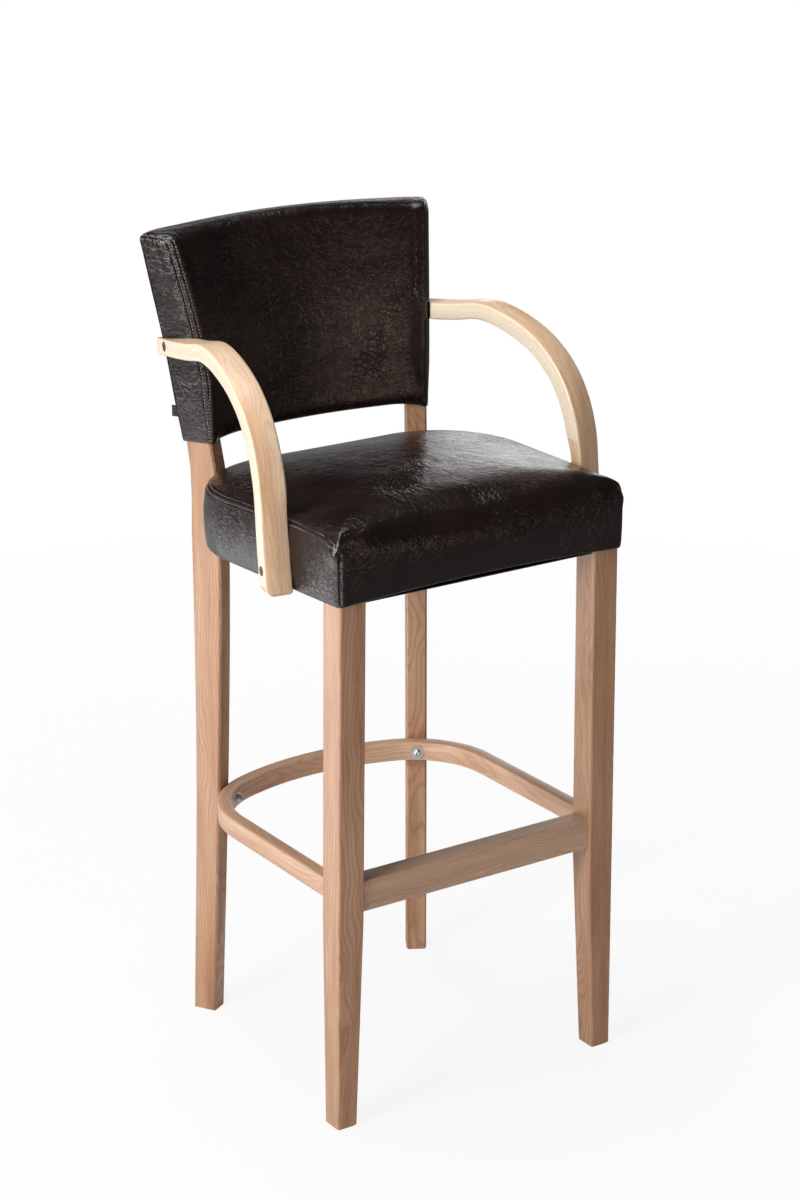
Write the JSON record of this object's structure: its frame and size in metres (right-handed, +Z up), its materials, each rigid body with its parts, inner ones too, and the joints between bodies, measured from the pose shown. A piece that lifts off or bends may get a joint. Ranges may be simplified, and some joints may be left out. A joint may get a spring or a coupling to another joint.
{
  "type": "bar stool",
  "caption": "Upholstered bar stool with bent wood arms, a boxed back, tapered legs, a footrest rail and a bent foot ring.",
  "frame": {"origin": "on the floor, at the middle of the stool's bounding box seen from above", "axes": "+Z up, +Y towards the back of the stool, +X to the right as seen from the front"},
  "size_m": [0.5134, 0.4836, 1.091],
  "materials": {
    "wood": "natural hardwood, clear satin lacquer",
    "leather": "dark brown glossy faux leather, fine crackle grain",
    "foam": "upholstery foam, hidden",
    "black_cloth": "thin black cloth",
    "zinc": "bright zinc plating",
    "brown_cap": "brown plastic screw cap",
    "frame_pine": "unfinished softwood and plywood, hidden"
  },
  "bodies": {
    "root": {"front_leg_right": "wood", "front_leg_left": "wood", "rear_leg_right": "wood", "rear_leg_left": "wood", "footrest_rail": "wood", "foot_ring": "wood", "foot_ring_bolt_right": "zinc", "foot_ring_bolt_left": "zinc", "foot_ring_washer_right": "zinc", "foot_ring_washer_left": "zinc", "seat_rail_front": "frame_pine", "seat_rail_right": "frame_pine", "seat_rail_left": "frame_pine", "seat_rail_rear": "frame_pine", "seat_corner_block_right": "frame_pine", "seat_corner_block_left": "frame_pine", "seat_frame_bolt_right": "zinc", "seat_frame_bolt_left": "zinc", "seat_board": "frame_pine", "seat_foam": "foam", "seat_cover": "leather", "seat_dust_cover": "black_cloth", "arm_right": "wood", "arm_left": "wood", "arm_bolt_rear_right": "zinc", "arm_bolt_rear_left": "zinc", "arm_bolt_front_right": "zinc", "arm_bolt_front_left": "zinc", "arm_cap_rear_right": "brown_cap", "arm_cap_rear_left": "brown_cap", "arm_cap_front_right": "brown_cap", "arm_cap_front_left": "brown_cap", "back_rail_top": "frame_pine", "back_rail_bottom": "frame_pine", "back_board": "frame_pine", "back_foam": "foam", "back_cover": "leather", "back_tab": "black_cloth"}
  },
  "joints": []
}
